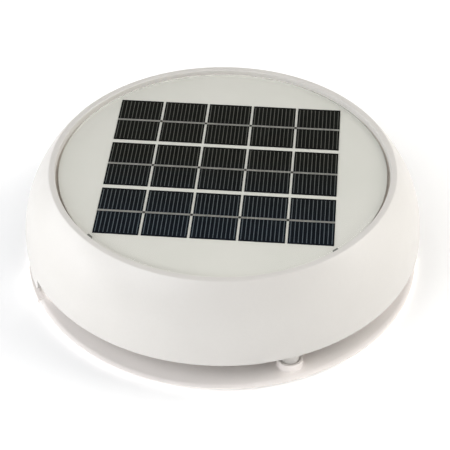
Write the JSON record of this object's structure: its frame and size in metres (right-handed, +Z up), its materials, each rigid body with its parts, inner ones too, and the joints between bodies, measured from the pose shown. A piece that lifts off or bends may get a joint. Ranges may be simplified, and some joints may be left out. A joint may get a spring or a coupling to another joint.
{
  "type": "solar attic fan",
  "caption": "Round solar-powered roof vent with a domed hood, a solar panel in its top and a motor-driven exhaust fan over a flat screw-down base ring.",
  "frame": {"origin": "centre of the base ring's underside, on the roof surface", "axes": "+Z up out of the roof along the fan's axis, +X along the columns of solar cells"},
  "size_m": [0.216, 0.216, 0.0641],
  "materials": {
    "hood_plastic": "satin, UV-stable white",
    "base_plastic": "satin, UV-stable white",
    "clear_cover": "polished clear",
    "backsheet": "matt off-white laminate",
    "solar_cell": "dark blue-black silicon",
    "tinned_copper": "solder-coated",
    "seal_silicone": "soft satin",
    "pod_plastic": "fine-textured",
    "black_plastic": "fine-textured",
    "fan_plastic": "moulded",
    "foam_gasket": "closed-cell foam",
    "steel": "bright",
    "zinc_can": "zinc-plated",
    "brass": "turned",
    "copper": "enamelled wire",
    "ferrite": "sintered",
    "battery_sleeve": "shrink sleeve",
    "board_green": "solder mask",
    "red_wire": "insulation",
    "black_wire": "insulation"
  },
  "bodies": {
    "base": {"base_ring": "base_plastic", "flange_gasket": "foam_gasket", "screen_frame": "base_plastic", "insect_screen": "steel"},
    "hood": {"battery_cell": "battery_sleeve", "battery_door": "pod_plastic", "battery_door_screw": "steel", "battery_lead_minus": "black_wire", "battery_lead_plus": "red_wire", "battery_plus_contact": "tinned_copper", "battery_spring": "tinned_copper", "board_capacitor": "black_plastic", "board_diode": "black_plastic", "board_transistor": "black_plastic", "control_board": "board_green", "front_bushing": "brass", "hood_shell": "hood_plastic", "lead_grommet": "foam_gasket", "motor_brushes": "brass", "motor_can": "zinc_can", "motor_end_bell": "black_plastic", "motor_lead_minus": "black_wire", "motor_lead_plus": "red_wire", "motor_magnets": "ferrite", "motor_pod": "pod_plastic", "motor_screws": "steel", "panel_backsheet": "backsheet", "panel_cover": "clear_cover", "panel_lead_minus": "black_wire", "panel_lead_plus": "red_wire", "panel_seal": "seal_silicone", "pod_gasket": "foam_gasket", "pod_screws": "steel", "rear_bushing": "brass", "solar_cells_front_row": "solar_cell", "solar_cells_middle_row": "solar_cell", "solar_cells_rear_row": "solar_cell", "switch_body": "black_plastic", "tab_ribbons": "tinned_copper"},
    "rotor": {"motor_shaft": "steel", "armature": "zinc_can", "armature_windings": "copper", "commutator": "brass", "fan": "fan_plastic", "fan_cap": "fan_plastic"},
    "switch": {"switch_slider": "black_plastic"}
  },
  "joints": [
    {"name": "hood_lift", "type": "slide", "parent": "base", "child": "hood", "axis": [0, 0, 1], "range_m": [0, 0.06]},
    {"name": "rotor_spin", "type": "hinge", "parent": "hood", "child": "rotor", "pos_m": [0, 0, 0.012], "axis": [0, 0, 1], "continuous": true},
    {"name": "switch_slide", "type": "slide", "parent": "hood", "child": "switch", "axis": [1, 0, 0], "range_m": [0, 0.004]}
  ]
}
